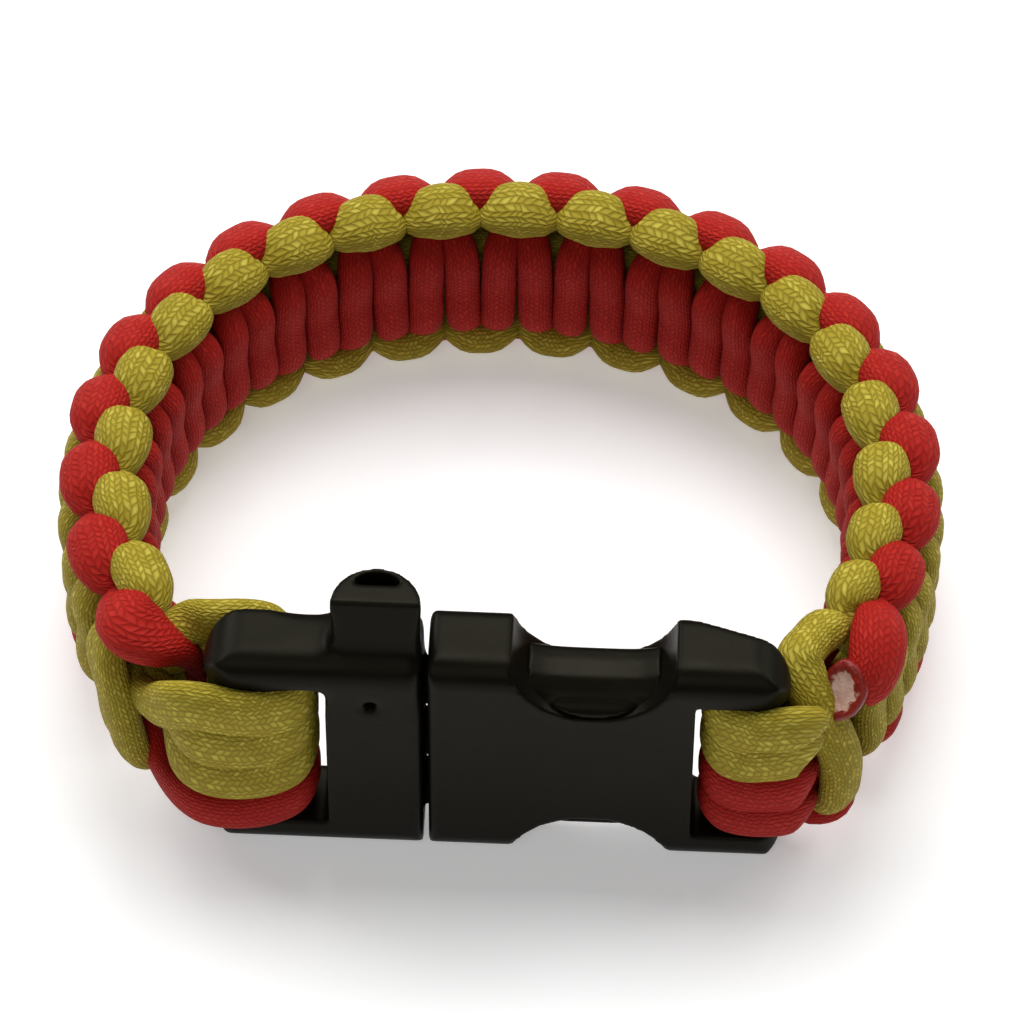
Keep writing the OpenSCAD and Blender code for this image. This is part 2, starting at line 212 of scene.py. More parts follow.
def smooth(rows):
    """Rows about RING_STEP apart on a smooth curve through the given ones."""
    rows = np.array(rows)
    gaps = gaps_between(rows)
    slopes = np.diff(rows, axis=0) / gaps[:, None]
    before, after = gaps[:-1, None], gaps[1:, None]
    inner = (slopes[:-1] * after + slopes[1:] * before) / (before + after)
    tangents = np.concatenate((slopes[:1], inner, slopes[-1:]))
    fine = []
    for i, gap in enumerate(gaps):
        steps = max(1, round(gap / RING_STEP))
        for u in np.arange(steps) / steps:
            a = (1 + 2 * u) * (1 - u) ** 2 * rows[i] + u * u * (3 - 2 * u) * rows[i + 1]
            b = u * (1 - u) ** 2 * tangents[i] - u * u * (1 - u) * tangents[i + 1]
            fine.append(a + gap * b)
    fine.append(rows[-1])
    return np.array(fine)


def linked(name, data):
    obj = bpy.data.objects.new(name, data)
    bpy.context.scene.collection.objects.link(obj)
    return obj


def tube(first, rings, count):
    """The faces round a row of closed rings of count points each, numbered from first."""
    faces = []
    for i in range(rings - 1):
        for j in range(count):
            a = first + i * count + j
            b = first + i * count + (j + 1) % count
            faces.append((a, b, b + count, a + count))
    return faces


def cap(first, count):
    return tuple(range(first, first + count))


def new_object(name, verts, faces, uvs):
    """A smooth-shaded object in the ground's frame, riding on the one body."""
    mesh = bpy.data.meshes.new(name)
    mesh.from_pydata(np.asarray(verts).tolist(), [], faces)
    mesh.transform(Matrix.Scale(MM, 4) @ lie)
    mesh.polygons.foreach_set("use_smooth", [True] * len(mesh.polygons))
    mesh.uv_layers.new(name="Braid").data.foreach_set("uv", np.asarray(uvs, float).ravel())
    obj = linked(name, mesh)
    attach(obj, "root")
    return obj


def squared(share):
    """Bends a circle's share towards a square's."""
    return np.sign(share) * np.abs(share) ** (2 / SQUARENESS)


def cord(name, strands, material, node):
    """Cords swept through their rows.

    The UV map Braid holds the turn round the cord and the way along it in mm.
    """
    verts, faces, uvs = [], [], []
    turns = np.arange(SIDES) / SIDES * 2 * pi
    shape_x = squared(np.cos(turns))
    shape_y = squared(np.sin(turns))
    for rows in strands:
        rows = smooth(rows)
        first = len(verts)
        heading = np.gradient(rows[:, MIDDLE], axis=0)
        way = np.concatenate(([0], np.cumsum(gaps_between(rows))))
        for r, ahead in zip(rows, heading):
            ahead = unit(ahead)
            across = unit(np.cross(ahead, r[FACING]))
            out = np.cross(across, ahead)
            for x, y in zip(shape_x, shape_y):
                verts.append(r[MIDDLE] + r[HALF_WIDE] * x * across + r[HALF_THICK] * y * out)
        for here, there in zip(way[:-1], way[1:]):
            for j in range(SIDES):
                u, u2 = j / SIDES, (j + 1) / SIDES
                uvs += [(u, here), (u2, here), (u2, there), (u, there)]
        last = first + (len(rows) - 1) * SIDES
        faces += tube(first, len(rows), SIDES) + [cap(first, SIDES)[::-1], cap(last, SIDES)]
        uvs += [(0, 0)] * (2 * SIDES)
    obj = new_object(name, verts, faces, uvs)
    obj.data.materials.append(material)
    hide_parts(node)


# One half-knot: along in bar pitches from the bar, face in FACE_N, height in BUMP_H,
# and half width in bar pitches and half thickness in CORD_T
KNOT = (
    (0.00, 1.00, 0.00, 0.49, 0.50),
    (-0.05, 1.00, 0.55, 0.47, 0.50),
    (-0.20, 0.15, 0.80, 0.42, 0.44),
    (-0.10, -0.50, 0.93, 0.56, 0.52),
    (0.10, -0.60, 0.985, 0.67, 0.60),
    (0.50, -0.60, 1.00, 0.74, 0.64),
    (0.90, -0.60, 0.985, 0.69, 0.61),
    (1.10, -0.50, 0.93, 0.60, 0.54),
    (1.20, 0.15, 0.80, 0.42, 0.44),
    (1.05, 1.00, 0.55, 0.47, 0.50),
)
# The bars at the ends lie askew: s, n, w, half width and half thickness
FIRST_BAR = (
    (-77.4, 2.2, 8.2, 1.5, 1.2),
    (-79.5, 3.9, 5.2, 2.0, 1.5),
    (-80.9, 4.1, 1.8, 2.1, 1.6),
    (-81.7, 3.9, -2.2, 2.1, 1.6),
    (-82.0, 3.3, -6.0, 1.9, 1.6),
    (-81.5, 1.6, -9.0, 1.7, 1.4),
    (-80.4, -0.6, -9.6, 1.5, 1.2),
    (-79.0, -1.7, -8.9, 1.4, 1.1),
    (-77.7, -1.7, -7.4, 1.1, 0.9),
    (-77.2, -1.2, -5.8, 0.7, 0.6),
)
SECOND_BAR = (
    (-80.2, -0.8, -9.0, 1.2, 1.1),
    (-80.4, 1.6, -8.4, 1.6, 1.4),
    (-79.6, 3.2, -5.6, 1.9, 1.5),
    (-78.5, 3.3, -2.0, 2.1, 1.5),
)
LAST_BAR = (
    (79.0, -2.0, 10.1, 2.2, 1.7),
    (81.2, -1.7, 10.2, 2.3, 1.7),
    (82.2, -0.2, 8.8, 2.2, 1.7),
    (82.3, 1.6, 6.0, 2.2, 1.7),
    (81.9, 3.2, 2.8, 2.2, 1.7),
    (81.6, 4.1, -0.4, 2.2, 1.7),
    (81.6, 4.3, -3.6, 2.2, 1.7),
    (81.5, 3.9, -6.4, 2.1, 1.6),
    (81.2, 2.6, -8.2, 2.0, 1.4),
    (80.6, 0.8, -8.2, 1.6, 1.2),
)
# The first red bump starts as a tail inside the band, near the buckle
FIRST_BUMP = (
    (-82.8, -3.6, 0.5, 1.0, 0.9),
    (-82.6, -3.4, 3.4, 1.4, 1.2),
    (-82.3, -2.2, 6.2, 2.1, 1.6),
    (-81.4, 0.2, 8.3, 2.9, 2.1),
    (-79.8, 1.6, 9.3, 3.1, 2.1),
)
# The last red bump hangs over the outer edge and ends in the cut
LAST_BUMP = (
    (72.2, 1.4, 9.0, 2.2, 1.5),
    (73.7, 2.5, 9.8, 2.7, 1.8),
    (75.4, 3.3, 9.8, 2.9, 2.0),
    (77.0, 4.0, 9.0, 2.8, 2.0),
    (78.3, 4.1, 8.0, 2.5, 1.9),
    (79.2, 3.6, 7.6, 2.1, 1.7),
)
# The red cord's other end: two bars inside and the bump below that joins them
LOWER_END = (
    (76.3, -1.6, 8.8, 1.1, 0.9),
    (76.5, -2.8, 6.0, 1.8, 1.4),
    (76.6, -3.0, 0.0, 1.9, 1.5),
    (76.8, -2.8, -5.2, 1.9, 1.5),
    (77.4, -0.4, -8.2, 1.9, 1.4),
    (78.6, 1.4, -9.8, 2.3, 1.6),
    (80.2, 2.0, -10.6, 2.6, 1.7),
    (81.8, 1.2, -10.2, 2.3, 1.6),
    (82.2, -0.8, -8.6, 1.8, 1.3),
    (81.2, -2.8, -5.0, 1.9, 1.4),
    (80.6, -3.0, 0.0, 1.9, 1.5),
    (80.3, -2.8, 6.0, 1.8, 1.4),
    (80.0, -1.6, 8.8, 1.1, 0.9),
)
# The first red bump below lies hidden under the slanting bars, nearer the band's middle and smaller
TUCK_FACE = 0.3
TUCK_HEIGHT = 0.9
TUCK_SIZE = 0.8
TUCKED = tuple(
    (
        ahead,
        TUCK_FACE * face if face < 0 else face,
        TUCK_HEIGHT * height,
        TUCK_SIZE * wide,
        TUCK_SIZE * thick,
    )
    for ahead, face, height, wide, thick in KNOT
)
# Past this height a cord begins to turn over the band's edge
WRAP_W = 5.5
# How much further out a cord's bumps lie than KNOT says, and on the upper edge how much higher
YELLOW_UP = 0.25
RED_UP = -0.35


def facing_at(s, n, w):
    """Which way a cord's outer side faces: off the band's face, and off its edge past WRAP_W."""
    past_wrap = w - np.clip(w, -WRAP_W, WRAP_W)
    return unit(outward(s) * n + np.array((0, 0, past_wrap)))


def knot_rows(table, k, face):
    """The rows of half-knot k, for the cord whose bars lie outside, face 1, or inside, face -1."""
    rows = []
    edge = face if k % 2 == 0 else -face
    up = YELLOW_UP if face > 0 else RED_UP
    for ahead, face_share, height, wide, thick in table:
        j = k + 0.5 + ahead
        s = along(j)
        n = face * face_share * FACE_N
        w = edge * height * (BUMP_H + up * max(0, edge))
        facing = facing_at(s, n, w)
        if face_share < 0:
            n += up
        half_wide = wide * min(pitch_at(j), BAR_PITCH) * stretch(s, n)
        rows.append(row(place(s, n, w), facing, half_wide, thick * CORD_T))
    return rows


def bar_rows(table):
    return [
        row(place(s, n, w), facing_at(s, n, w), half_wide, half_thick)
        for s, n, w, half_wide, half_thick in table
    ]


def yellow_rows():
    """The cord whose bars lie outside, with a slanting bar first and a bent one last."""
    rows = bar_rows(SECOND_BAR) + knot_rows(KNOT[1:], 0, 1)
    for k in range(1, KNOTS - 2):
        rows += knot_rows(KNOT, k, 1)
    return rows + knot_rows(KNOT[:5], KNOTS - 2, 1) + bar_rows(LAST_BAR)


def red_rows():
    """The cord whose bars lie inside."""
    rows = bar_rows(FIRST_BUMP) + knot_rows(KNOT[6:], -1, -1) + knot_rows(TUCKED, 0, -1)
    for k in range(1, KNOTS - 3):
        rows += knot_rows(KNOT, k, -1)
    return rows + knot_rows(KNOT[:3], KNOTS - 3, -1) + bar_rows(LAST_BUMP)


# The loops and the core. LEG_IN and CORE_IN say how far inside the mouths, in bar pitches, the
# loops' legs and the core's cords end.
PITCH_IN_WEAVE = CORE_W / ROWS - CORD_GAP
LEG_IN = 1.2
CORE_IN = 0.15
LEG_N = CORE_T / 4
MOUTH_OUT = 0.7
# Half width and half thickness of a leg in the weave, at the mouth and halfway to the buckle's tip
LEG_IN_WEAVE = (1.1, 0.7)
FRONT_AT_MOUTH = (1.6, 1.15)
FRONT_HALFWAY = (2.1, 1.4)
WRIST_HALFWAY = (2.3, 1.3)
WRIST_AT_MOUTH = (1.5, 0.9)
HALFWAY = 0.45
HALFWAY_STAND = 0.3
# At the buckle's tip: how far past it or inside it the cord runs, its lean in degrees, and its
# width as a share of the width at the bar
FRONT_TIP_OUT = 0.8
FRONT_TIP_LEAN = 15
FRONT_NARROWER = 0.93
WRIST_TIP_IN = 1.2
WRIST_NARROWER = 0.86
WRIST_TIP_HALF_T = 1.45
# The slot's upper end, which stops the top cord behind the bar
SLOT_TOP = 7.7
TURN_STEP = 45
CORE_STEPS = 40
CORE_HALF_SHARE = 0.52


def tip_x(side):
    return side * BUCKLE_L / 2


def turn_x(side):
    return tip_x(side) - side * (RIGHT_TURN_IN if side > 0 else LEFT_TURN_IN)


def turned(degrees):
    """The direction at this angle from the buckle's length."""
    a = radians(degrees) + BUCKLE_TURN
    return np.array((cos(a), sin(a), 0))


# Where each loop runs, from the top one down: its heights in the weave, at its mouth, halfway, at
# the buckle's tip and at the bar in front, then at the tip, halfway and at the mouth on the wrist's
# side, how far it stands out in front of the mouth, and its half width at the bar
LOOPS = {
    -1: (
        (2.6, 1.6, 3.4, 7.8, 7.3, 8.9, 8.4, 6.8, 1.2, 3.3),
        (1.0, 1.2, 2.4, 3.1, 2.7, 4.6, 4.4, 2.8, -0.6, 3.4),
        (-1.0, 0.4, 0.6, -1.6, -2.0, 0.2, 0.2, -0.6, -0.8, 3.3),
        (-3.0, -5.0, -7.6, -7.6, -7.4, -5.2, -4.6, -3.4, 0.4, 2.55),
    ),
    1: (
        (3.0, 0.9, 4.2, 7.7, 7.2, 7.4, 5.0, 3.1, -0.7, 3.25),
        (1.0, -0.6, 2.2, 4.4, 3.0, 2.6, 1.6, 1.0, -0.7, 3.25),
        (-1.0, -3.4, -2.2, -1.1, -2.2, -2.3, -1.6, -1.0, -0.9, 2.85),
        (-3.0, -5.2, -6.2, -5.3, -6.2, -6.8, -4.6, -3.1, -0.2, 2.7),
    ),
}


def loop_row(middle, facing, height, half_wide, half_thick):
    return row(middle + np.array((0, 0, height)), facing, half_wide, half_thick)


def loop_rows(side, strand):
    """A loop: out of the weave in front, round the bar, and back in on the wrist's side."""
    *heights, stand, full = LOOPS[side][strand]
    inside, at_mouth, halfway, at_tip, at_bar = heights[:5]
    wrist_at_tip, wrist_halfway, wrist_at_mouth = heights[5:]
    s = mouth(side) + side * MOUTH_OUT
    s_in = s - side * LEG_IN * BAR_PITCH
    out = outward(s)
    bulge = RIGHT_BULGE if side > 0 else LEFT_BULGE
    front_mouth = place(s, LEG_N, 0)
    wrist_mouth = place(s, -LEG_N, 0)
    front_tip = from_buckle(tip_x(side) + side * FRONT_TIP_OUT, BAR_Y - TURN_R)
    wrist_tip = from_buckle(tip_x(side) - side * WRIST_TIP_IN, BAR_Y + TURN_R + bulge)
    front_half = mix(front_mouth, front_tip, HALFWAY) + (HALFWAY_STAND + stand) * out
    wrist_half = mix(wrist_mouth, wrist_tip, HALFWAY) - bulge / 3 * out
    tip_facing = turned(side * FRONT_TIP_LEAN - 90)
    rows = [
        loop_row(place(s_in, LEG_N, 0), outward(s_in), inside, *LEG_IN_WEAVE),
        loop_row(front_mouth + stand * out, out, at_mouth, *FRONT_AT_MOUTH),
        loop_row(front_half, out, halfway, *FRONT_HALFWAY),
        loop_row(front_tip, tip_facing, at_tip, full * FRONT_NARROWER, LOOP_T / 2),
    ]
    for angle in range(-90, 91, TURN_STEP):
        bow = bulge * max(0, angle) / 90
        middle = from_buckle(
            turn_x(side) - side * TURN_R * cos(radians(angle)),
            BAR_Y + TURN_R * sin(radians(angle)) + bow,
        )
        facing = turned(180 - angle if side > 0 else angle)
        height = mix(at_bar, min(wrist_at_tip, SLOT_TOP), (angle + 90) / 180)
        rows.append(loop_row(middle, facing, height, full, LOOP_T / 2))
    rows += [
        loop_row(wrist_tip, turned(90), wrist_at_tip, full * WRIST_NARROWER, WRIST_TIP_HALF_T),
        loop_row(wrist_half, -out, wrist_halfway, *WRIST_HALFWAY),
        loop_row(wrist_mouth, -out, wrist_at_mouth, *WRIST_AT_MOUTH),
        loop_row(place(s_in, -LEG_N, 0), -outward(s_in), inside, *LEG_IN_WEAVE),
    ]
    return rows


def core_rows(strand):
    """One of the cords that run side by side inside the weave."""
    start = mouth(-1) + CORE_IN * BAR_PITCH
    end = mouth(1) - CORE_IN * BAR_PITCH
    height = ((ROWS - 1) / 2 - strand) * PITCH_IN_WEAVE
    half_wide = PITCH_IN_WEAVE * CORE_HALF_SHARE
    return [
        loop_row(place(s, 0, 0), outward(s), height, half_wide, CORE_T / 2)
        for s in np.linspace(start, end, CORE_STEPS)
    ]


# Where the nodes keep what has no name of its own: the mix node's sockets, and the object's
# coordinates
MIX_SHARE = 0
MIX_A = 6
MIX_B = 7
MIX_RESULT = 2
OBJECT_PLACE = 3


class Shader:
    """A material's nodes, with a short call for each kind that is used here."""

    def __init__(self, name, **constants):
        self.material = bpy.data.materials.new(name)
        self.material.use_nodes = True
        self.tree = self.material.node_tree
        self.surface = self.tree.nodes["Principled BSDF"]
        for socket, value in constants.items():
            self.surface.inputs[socket.replace("_", " ")].default_value = value

    def put(self, value, socket):
        if isinstance(value, bpy.types.NodeSocket):
            self.tree.links.new(value, socket)
        else:
            socket.default_value = value

    def node(self, kind, out, **inputs):
        made = self.tree.nodes.new("ShaderNode" + kind)
        for name, value in inputs.items():
            self.put(value, made.inputs[name.replace("_", " ")])
        return made.outputs[out]

    def math(self, operation, *values):
        made = self.tree.nodes.new("ShaderNodeMath")
        made.operation = operation
        for value, socket in zip(values, made.inputs):
            self.put(value, socket)
        return made.outputs[0]

    def blend(self, share, a, b, kind="MIX"):
        made = self.tree.nodes.new("ShaderNodeMix")
        made.data_type = "RGBA"
        made.blend_type = kind
        self.put(share, made.inputs[MIX_SHARE])
        self.put(a, made.inputs[MIX_A])
        self.put(b, made.inputs[MIX_B])
        return made.outputs[MIX_RESULT]

    def split(self, vector):
        """The three numbers of a vector."""
        made = self.tree.nodes.new("ShaderNodeSeparateXYZ")
        self.put(vector, made.inputs[0])
        return made.outputs

    def braid_map(self):
        made = self.tree.nodes.new("ShaderNodeUVMap")
        made.uv_map = "Braid"
        return made.outputs[0]

    def paint(self, socket, value):
        self.put(value, self.surface.inputs[socket])

    def bump(self, height, distance, strength=1):
        normal = self.node("Bump", 0, Height=height, Distance=distance, Strength=strength)
        self.paint("Normal", normal)


# The braid: columns round a cord, mm from stitch to stitch, and how far a stitch leans
STITCH_COLUMNS = 30
STITCH_PITCH = 0.62
STITCH_LEAN = 0.6
STITCH_DOME = 0.7
STITCH_RELIEF = 0.1
# How uneven the columns and the stitches are, and how much the stitches differ in height
WOBBLE_SCALE = 1.1
COLUMN_WOBBLE = 0.8
STITCH_WOBBLE = 0.5
HEIGHT_CHANCE = 0.3
# Share of the middle colour in a groove, darker there as painted shade, what a stitch's crown adds
# to it as painted light, and what the patches vary it by
GROOVE_SHADE = 0.46
CROWN_LIGHT = 0.34
PATCH_COLOUR = 0.8
PATCH_SCALE = 220
# Shares of the light colour painted as a highlight on every stitch's crown, and on the brightest
# ones besides
ALWAYS_HIGHLIGHT = 0.12
SOMETIMES_HIGHLIGHT = 0.6
# How much darker the colour is painted low down, as painted shade, and the heights
# in metres between which this painted shade fades out
LOW_PAINTED_SHADE = 0.3
FULL_SHADE_BELOW = 0.014
NO_SHADE_ABOVE = 0.031


def braided(name, light, middle, dark, crown_highlight):
    """A sheath of fine slanting stitches in columns that lean left and right by turns."""
    sh = Shader(name, Roughness=0.7, Specular_IOR_Level=0.16)
    braid = sh.braid_map()
    turn, way, _ = sh.split(braid)
    wobble = sh.node("TexNoise", 0, Vector=braid, Scale=WOBBLE_SCALE, Detail=1)
    column = sh.math("MULTIPLY", turn, STITCH_COLUMNS)
    column = sh.math("MULTIPLY_ADD", wobble, COLUMN_WOBBLE, column)
    x = sh.math("FRACT", column)
    odd = sh.math("MODULO", sh.math("FLOOR", column), 2)
    lean = sh.math("MULTIPLY_ADD", odd, 2 * STITCH_LEAN, -STITCH_LEAN)
    rise = sh.math("MULTIPLY", lean, sh.math("SUBTRACT", x, 0.5))
    half_step = sh.math("MULTIPLY", odd, 0.5)
    steps = sh.math("MULTIPLY_ADD", way, 1 / STITCH_PITCH, sh.math("ADD", rise, half_step))
    steps = sh.math("MULTIPLY_ADD", wobble, STITCH_WOBBLE, steps)
    y = sh.math("FRACT", steps)
    dome_x = sh.math("SINE", sh.math("MULTIPLY", x, pi))
    dome_y = sh.math("SINE", sh.math("MULTIPLY", y, pi))
    height = sh.math("POWER", sh.math("MULTIPLY", dome_x, dome_y), STITCH_DOME)
    stitch = sh.node("CombineXYZ", 0, X=sh.math("FLOOR", column), Y=sh.math("FLOOR", steps))
    chance = sh.node("TexWhiteNoise", 0, Vector=stitch)

    patches = sh.math("SUBTRACT", sh.node("TexNoise", 0, Scale=PATCH_SCALE, Detail=2), 0.5)
    # Painted shade: each stitch is coloured darker in its grooves and lighter towards its crown;
    # the patches are random tone
    share = sh.math("MULTIPLY_ADD", height, CROWN_LIGHT, GROOVE_SHADE)
    colour = sh.blend(sh.math("MULTIPLY_ADD", patches, PATCH_COLOUR, share), dark, middle)
    # Painted highlight: the light colour is laid on each stitch's crown, strongest on random
    # stitches
    lit = sh.math("MULTIPLY_ADD", sh.math("POWER", chance, 2), SOMETIMES_HIGHLIGHT, ALWAYS_HIGHLIGHT)
    lit = sh.math("MULTIPLY", lit, sh.math("MULTIPLY", height, crown_highlight))
    colour = sh.blend(lit, colour, light)
    # Painted shade: the colour is multiplied darker towards the bottom of the band
    up = sh.split(sh.node("TexCoord", OBJECT_PLACE))[2]
    unshaded = sh.node("MapRange", 0, Value=up, From_Min=FULL_SHADE_BELOW, From_Max=NO_SHADE_ABOVE)
    deep = sh.math("MULTIPLY_ADD", unshaded, -LOW_PAINTED_SHADE, LOW_PAINTED_SHADE)
    sh.paint("Base Color", sh.blend(deep, colour, middle, "MULTIPLY"))
    sh.bump(sh.math("MULTIPLY_ADD", chance, HEIGHT_CHANCE, height), STITCH_RELIEF * MM)
    return sh.material


# The buckle's plastic: patches and grain to the metre, the grain's depth in mm and its strength,
# and the least roughness and what is added to it where the plastic is rubbed
RUB_SCALE = 160
GRAIN_SCALE = 2600
GRAIN_DEPTH = 0.02
GRAIN_STRENGTH = 0.6
SMOOTHEST = 0.24
RUBBED_BY = 0.3
PLASTIC_DARK = (0.0030, 0.0027, 0.0016, 1)
PLASTIC_LIGHT = (0.0055, 0.0050, 0.0030, 1)
PLASTIC_SHINE = (1, 0.93, 0.68, 1)


def moulded():
    """Black buckle plastic with a fine moulded grain and a few rubbed patches."""
    sh = Shader("buckle_plastic", Specular_IOR_Level=0.08, Specular_Tint=PLASTIC_SHINE)
    spot = sh.node("TexCoord", OBJECT_PLACE)
    rubbed = sh.node("TexNoise", 0, Vector=spot, Scale=RUB_SCALE, Detail=4)
    grain = sh.node("TexNoise", 0, Vector=spot, Scale=GRAIN_SCALE, Detail=2)
    sh.paint("Base Color", sh.blend(rubbed, PLASTIC_DARK, PLASTIC_LIGHT))
    sh.paint("Roughness", sh.math("MULTIPLY_ADD", rubbed, RUBBED_BY, SMOOTHEST))
    sh.bump(grain, GRAIN_DEPTH * MM, GRAIN_STRENGTH)
    return sh.material


# Each cord's light, middle and dark colour, and how strongly the painted highlight on its stitch
# crowns shows. The light colour is painted highlight; the dark one serves the random patches and
# the painted shade in the grooves.
yellow = braided(
    "yellow_braid", (0.74, 0.65, 0.11, 1), (0.41, 0.32, 0.019, 1), (0.20, 0.14, 0.010, 1), 1
)
red = braided(
    "red_braid", (0.72, 0.06, 0.03, 1), (0.48, 0.012, 0.007, 1), (0.26, 0.006, 0.004, 1), 0.5
)
black = moulded()

cord("yellow_weave", [bar_rows(FIRST_BAR), yellow_rows()], yellow, "yellow_cord")
cord("red_weave", [red_rows(), bar_rows(LOWER_END)], red, "red_cord")
cord("core", [core_rows(strand) for strand in range(ROWS)], yellow, "core_cords")


def bundle(name, side, strands, material, node):
    cord(name, [loop_rows(side, strand) for strand in strands], material, node)


bundle("left_yellow_bundle", -1, (0, 1, 2), yellow, "left_yellow_loops")
bundle("left_red_bundle", -1, (3,), red, "left_red_loop")
bundle("right_yellow_bundle", 1, (0, 1), yellow, "right_yellow_loops")
bundle("right_red_bundle", 1, (2, 3), red, "right_red_loops")

# The red cord's end, cut and melted flat: a button that faces up and forwards. END_FACING is given
# along the band at END_FACING_S, outwards and up.
END_PLACE = place(80.5, 3.0, 8.2)
END_FACING = (0.80, 0.10, 0.60)
END_FACING_S = 79.5
END_HALF = (2.25, 3.1)
# From behind the rim to the middle: share of the radius, and mm in front of the rim. RIM is the
# rim's own place in these.
END_PROFILE = (
    (0.55, -1.5), (0.86, -1.1), (0.98, -0.5), (1.00, 0.0), (0.95, 0.3), (0.84, 0.42),
    (0.70, 0.3), (0.55, 0.1), (0.38, 0.0), (0.20, -0.05), (0.08, 0.0),
)
RIM = 3
END_TURNS = 40
# The rim isn't quite round: it has three waves and seven smaller ones
THREE_WAVES = 0.03
SEVEN_WAVES = 0.02
MELTED_RIM = (0.24, 0.012, 0.008, 1)
MELTED_DEEP = (0.50, 0.22, 0.17, 1)
MELTED_PALE = (0.86, 0.66, 0.56, 1)
RAGGED_SCALE = 5
RAGGED_REACH = 1.1
RAGGED_RELIEF = 0.35
# Shares of the radius where the pale middle ends and where it is whole
PALE_ENDS = 0.66
PALE_WHOLE = 0.54


def melted():
    """Melted cord: a dark red rim round a ragged pale middle."""
    sh = Shader("melted_end", Roughness=0.35, Specular_IOR_Level=0.4)
    radius = sh.split(sh.braid_map())[0]
    ragged = sh.node("TexNoise", 0, Scale=RAGGED_SCALE, Detail=4)
    reach = sh.math("MULTIPLY_ADD", sh.math("SUBTRACT", ragged, 0.5), RAGGED_REACH, radius)
    pale = sh.node("MapRange", 0, Value=reach, From_Min=PALE_ENDS, From_Max=PALE_WHOLE)
    smear = sh.blend(ragged, MELTED_DEEP, MELTED_PALE)
    sh.paint("Base Color", sh.blend(pale, MELTED_RIM, smear))
    sh.bump(ragged, RAGGED_RELIEF * MM)
    return sh.material


def cut_end():
    """The melted button. The UV map Braid holds the share of its radius."""
    ahead, out, up = END_FACING
    level = ahead * onward(END_FACING_S) + out * outward(END_FACING_S)
    facing = unit(level + np.array((0, 0, up)))
    across = unit(np.cross((0, 0, 1), facing))
    upright = np.cross(facing, across)
    verts, uvs = [], []
    for share, height in END_PROFILE:
        for i in range(END_TURNS):
            a = 2 * pi * i / END_TURNS
            ripple = share * (1 + THREE_WAVES * sin(3 * a + 1) + SEVEN_WAVES * sin(7 * a))
            flat = END_HALF[0] * cos(a) * across + END_HALF[1] * sin(a) * upright
            verts.append(END_PLACE + ripple * flat + height * facing)
    last = len(END_PROFILE) - 1
    for i in range(last):
        outer, inner = (END_PROFILE[m][0] if i >= RIM else 1 for m in (i, i + 1))
        uvs += [(outer, 0), (outer, 0), (inner, 0), (inner, 0)] * END_TURNS
    faces = tube(0, len(END_PROFILE), END_TURNS)
    faces += [cap(last * END_TURNS, END_TURNS), cap(0, END_TURNS)[::-1]]
    uvs += [(0, 0)] * END_TURNS + [(1, 0)] * END_TURNS
    obj = new_object("melted_end", verts, faces, uvs)
    obj.data.materials.append(melted())


cut_end()

# The buckle, with its edges softened as a mould leaves them
buckle_turn = Matrix.Rotation(BUCKLE_TURN, 4, "Z")
buckle_frame = lie @ Matrix.Translation(Vector(from_buckle(0, 0))) @ buckle_turn
buckle_frame.translation *= MM
VOXEL = 0.25
SMOOTHING = 0.5
ROUNDING_TURNS = 6
FLOW_TURNS = 90
# The mouthpiece on the whistle half flows into the buckle's side round its foot. This fades in a
# width of FLOW. It goes as far as FOOT_BESIDE and FOOT_INSIDE, and to FOOT_BELOW_TOP from the top.
MOUTH_X = -11.3
MOUTH_R = 4.25
MOUTH_H = 6.1
FLOW = 3
FOOT_BESIDE = 2 * FLOW
FOOT_BELOW_TOP = 1.2
FOOT_INSIDE = 2.6 * FLOW


def at_foot(x, z):
    """1 at the mouthpiece's foot, falling to 0 away from it. x and z are in the buckle's frame."""
    beside = (MOUTH_R + FOOT_BESIDE - abs(x - MOUTH_X)) / FLOW
    above = (BUCKLE_W / 2 + MOUTH_H - FOOT_BELOW_TOP - z) / FLOW
    below = (z - BUCKLE_W / 2 + FOOT_INSIDE) / FLOW
    return min(1, max(0, min(beside, above, below)))


# Each prong's pad fills its round notch as a saddle, highest where it meets the notch's walls.
# It reaches half a millimetre under them, so no thin edge shows.
NOTCH_X = 9.1
NOTCH_UP = 1.45
UNDER_NOTCH_R = 8.4
NOTCH_Z = BUCKLE_W / 2 + NOTCH_UP
SADDLE_HALF = 6.3
SADDLE_TOP = 10.9
SADDLE_RISE = 0.6
SADDLE_LEAST = 0.02
SADDLE_STEPS = 25
# From the wrist's side to the front: place through the thickness, and depth below the saddle's top
SADDLE_PROFILE = (
    (3.1, 0.8), (2.5, 0.1), (1.0, 0), (-0.8, 0.2), (-2.2, 0.9), (-3.2, 2.1), (-3.75, 3.6),
)


def saddle(side):
    """The pad in the notch above the middle, side 1, or below it, side -1, as a closed mesh."""
    verts = []
    count = len(SADDLE_PROFILE) + 2
    for share in np.linspace(-1, 1, SADDLE_STEPS):
        x = SADDLE_HALF * share
        bottom = NOTCH_Z - (UNDER_NOTCH_R ** 2 - x ** 2) ** 0.5
        top = SADDLE_TOP + SADDLE_RISE * share ** 4
        profile = [(y, max(bottom + SADDLE_LEAST, top - deep)) for y, deep in SADDLE_PROFILE]
        profile += [(SADDLE_PROFILE[-1][0], bottom), (SADDLE_PROFILE[0][0], bottom)]
        verts += [((NOTCH_X + x) * MM, y * MM, side * z * MM) for y, z in profile]
    last = (SADDLE_STEPS - 1) * count
    faces = tube(0, SADDLE_STEPS, count) + [cap(0, count)[::-1], cap(last, count)]
    return verts, faces if side > 0 else [face[::-1] for face in faces]


